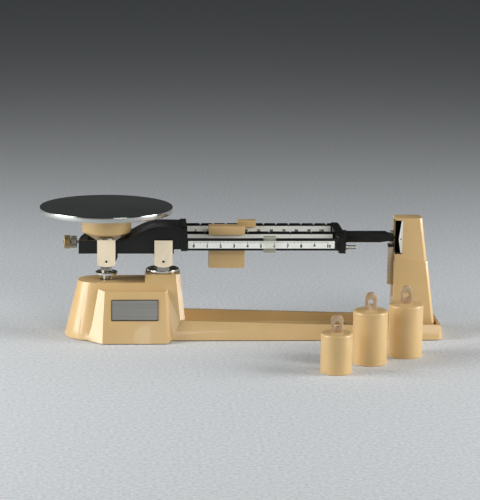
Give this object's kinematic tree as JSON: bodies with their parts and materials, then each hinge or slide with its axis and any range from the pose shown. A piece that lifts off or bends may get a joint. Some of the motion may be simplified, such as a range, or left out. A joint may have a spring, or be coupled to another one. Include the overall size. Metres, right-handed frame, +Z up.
{
  "type": "triple beam balance",
  "caption": "Beam balance with a round pan, tiered graduated beams, sliding poises, a tapered column with a pointer window, a trough base, and attachment weights.",
  "frame": {"origin": "centre of the whole set's footprint, on the surface it stands on", "axes": "+X from the pan towards the pointer, +Y to the back, +Z up"},
  "size_m": [0.4636, 0.2708, 0.1506],
  "materials": {
    "beige_paint": "satin beige enamel",
    "cream_paint": "satin cream enamel",
    "black_paint": "satin black enamel",
    "scale_white": "white printed strip",
    "pan_steel": "polished stainless steel",
    "chrome_plate": "bright chrome",
    "steel": "plain turned steel",
    "brass": "knurled brass",
    "aluminium": "satin aluminium",
    "agate": "polished agate",
    "magnet": "dark ferrite",
    "rubber": "matt black rubber",
    "clear_plastic": "clear acrylic",
    "tongue_metal": "dull bronze plate"
  },
  "bodies": {
    "base": {"base_casting": "beige_paint", "rubber_feet": "rubber", "bottom_cover": "black_paint", "cover_screws": "steel", "label_plate": "aluminium", "column_lower": "beige_paint", "column_cap": "beige_paint", "column_screws": "steel", "index_plate": "scale_white", "magnet_holder": "steel", "damper_magnets": "magnet", "fulcrum_dish": "chrome_plate", "fulcrum_post": "steel", "post_nut": "steel", "check_bracket": "steel", "base_link_pin": "steel", "fulcrum_yoke": "steel", "fulcrum_agates": "agate", "fulcrum_covers": "cream_paint", "fulcrum_cover_pins": "black_paint"},
    "beam": {"beam_casting": "black_paint", "fulcrum_knife": "steel", "pan_knife": "steel", "front_beam": "black_paint", "middle_beam": "black_paint", "rear_beam": "black_paint", "front_scale": "scale_white", "middle_scale": "scale_white", "rear_scale": "scale_white", "end_casting": "black_paint", "beam_screws": "steel", "pointer_arm": "black_paint", "vane_clamp": "black_paint", "damping_vane": "aluminium", "hanger_pin": "steel", "zero_stud": "steel"},
    "zero_nut": {"zero_locknut": "steel"},
    "zero_knob": {"zero_knob": "brass"},
    "pan_support": {"pan_yoke": "steel", "pan_agates": "agate", "pan_covers": "cream_paint", "pan_cover_pins": "black_paint", "pan_hub": "beige_paint", "pan_stem": "steel", "stem_collar": "chrome_plate", "stem_link_pin": "steel"},
    "pan": {"pan": "pan_steel"},
    "check_link": {"check_link": "steel"},
    "middle_poise": {"middle_poise": "beige_paint", "middle_poise_key": "steel"},
    "rear_poise": {"rear_poise": "beige_paint", "rear_poise_key": "steel"},
    "front_rider": {"rider_frame": "aluminium", "rider_window": "clear_plastic"},
    "small_weight": {"small_weight": "beige_paint", "small_tongue": "tongue_metal"},
    "left_weight": {"left_weight": "beige_paint", "left_tongue": "tongue_metal"},
    "right_weight": {"right_weight": "beige_paint", "right_tongue": "tongue_metal"}
  },
  "joints": [
    {"name": "beam_pivot", "type": "hinge", "parent": "base", "child": "beam", "pos_m": [-0.0906, 0.0592, 0.091], "axis": [0, 1, 0], "range_deg": [-2, 2]},
    {"name": "pan_level", "type": "hinge", "parent": "beam", "child": "pan_support", "pos_m": [-0.1556, 0.0592, 0.091], "axis": [0, 1, 0], "range_deg": [-2, 2]},
    {"name": "link_swing", "type": "hinge", "parent": "base", "child": "check_link", "pos_m": [-0.0906, 0.0592, 0.032], "axis": [0, 1, 0], "range_deg": [-2, 2]},
    {"name": "pan_lift", "type": "slide", "parent": "pan_support", "child": "pan", "axis": [0, 0, 1], "range_m": [0, 0.04]},
    {"name": "middle_poise_slide", "type": "slide", "parent": "beam", "child": "middle_poise", "axis": [1, 0, 0], "range_m": [-0.0246, 0.0984]},
    {"name": "rear_poise_slide", "type": "slide", "parent": "beam", "child": "rear_poise", "axis": [1, 0, 0], "range_m": [-0.0588, 0.0882]},
    {"name": "front_rider_slide", "type": "slide", "parent": "beam", "child": "front_rider", "axis": [1, 0, 0], "range_m": [-0.08678, 0.06682]},
    {"name": "zero_travel", "type": "slide", "parent": "beam", "child": "zero_nut", "axis": [1, 0, 0], "range_m": [-0.0015, 0.0015]},
    {"name": "zero_turn", "type": "hinge", "parent": "zero_nut", "child": "zero_knob", "pos_m": [-0.1956, 0.0592, 0.1086], "axis": [1, 0, 0], "range_deg": [-720, 720]},
    {"name": "small_weight_lift", "type": "slide", "parent": "base", "child": "small_weight", "axis": [0, 0, 1], "range_m": [0, 0.06]},
    {"name": "left_weight_lift", "type": "slide", "parent": "base", "child": "left_weight", "axis": [0, 0, 1], "range_m": [0, 0.06]},
    {"name": "right_weight_lift", "type": "slide", "parent": "base", "child": "right_weight", "axis": [0, 0, 1], "range_m": [0, 0.06]}
  ],
  "couplings": [
    {"joint": "pan_level", "follows": "beam_pivot", "ratio": -1},
    {"joint": "link_swing", "follows": "beam_pivot", "ratio": 1},
    {"joint": "zero_travel", "follows": "zero_turn", "m_per_rad": 0.00011141}
  ]
}
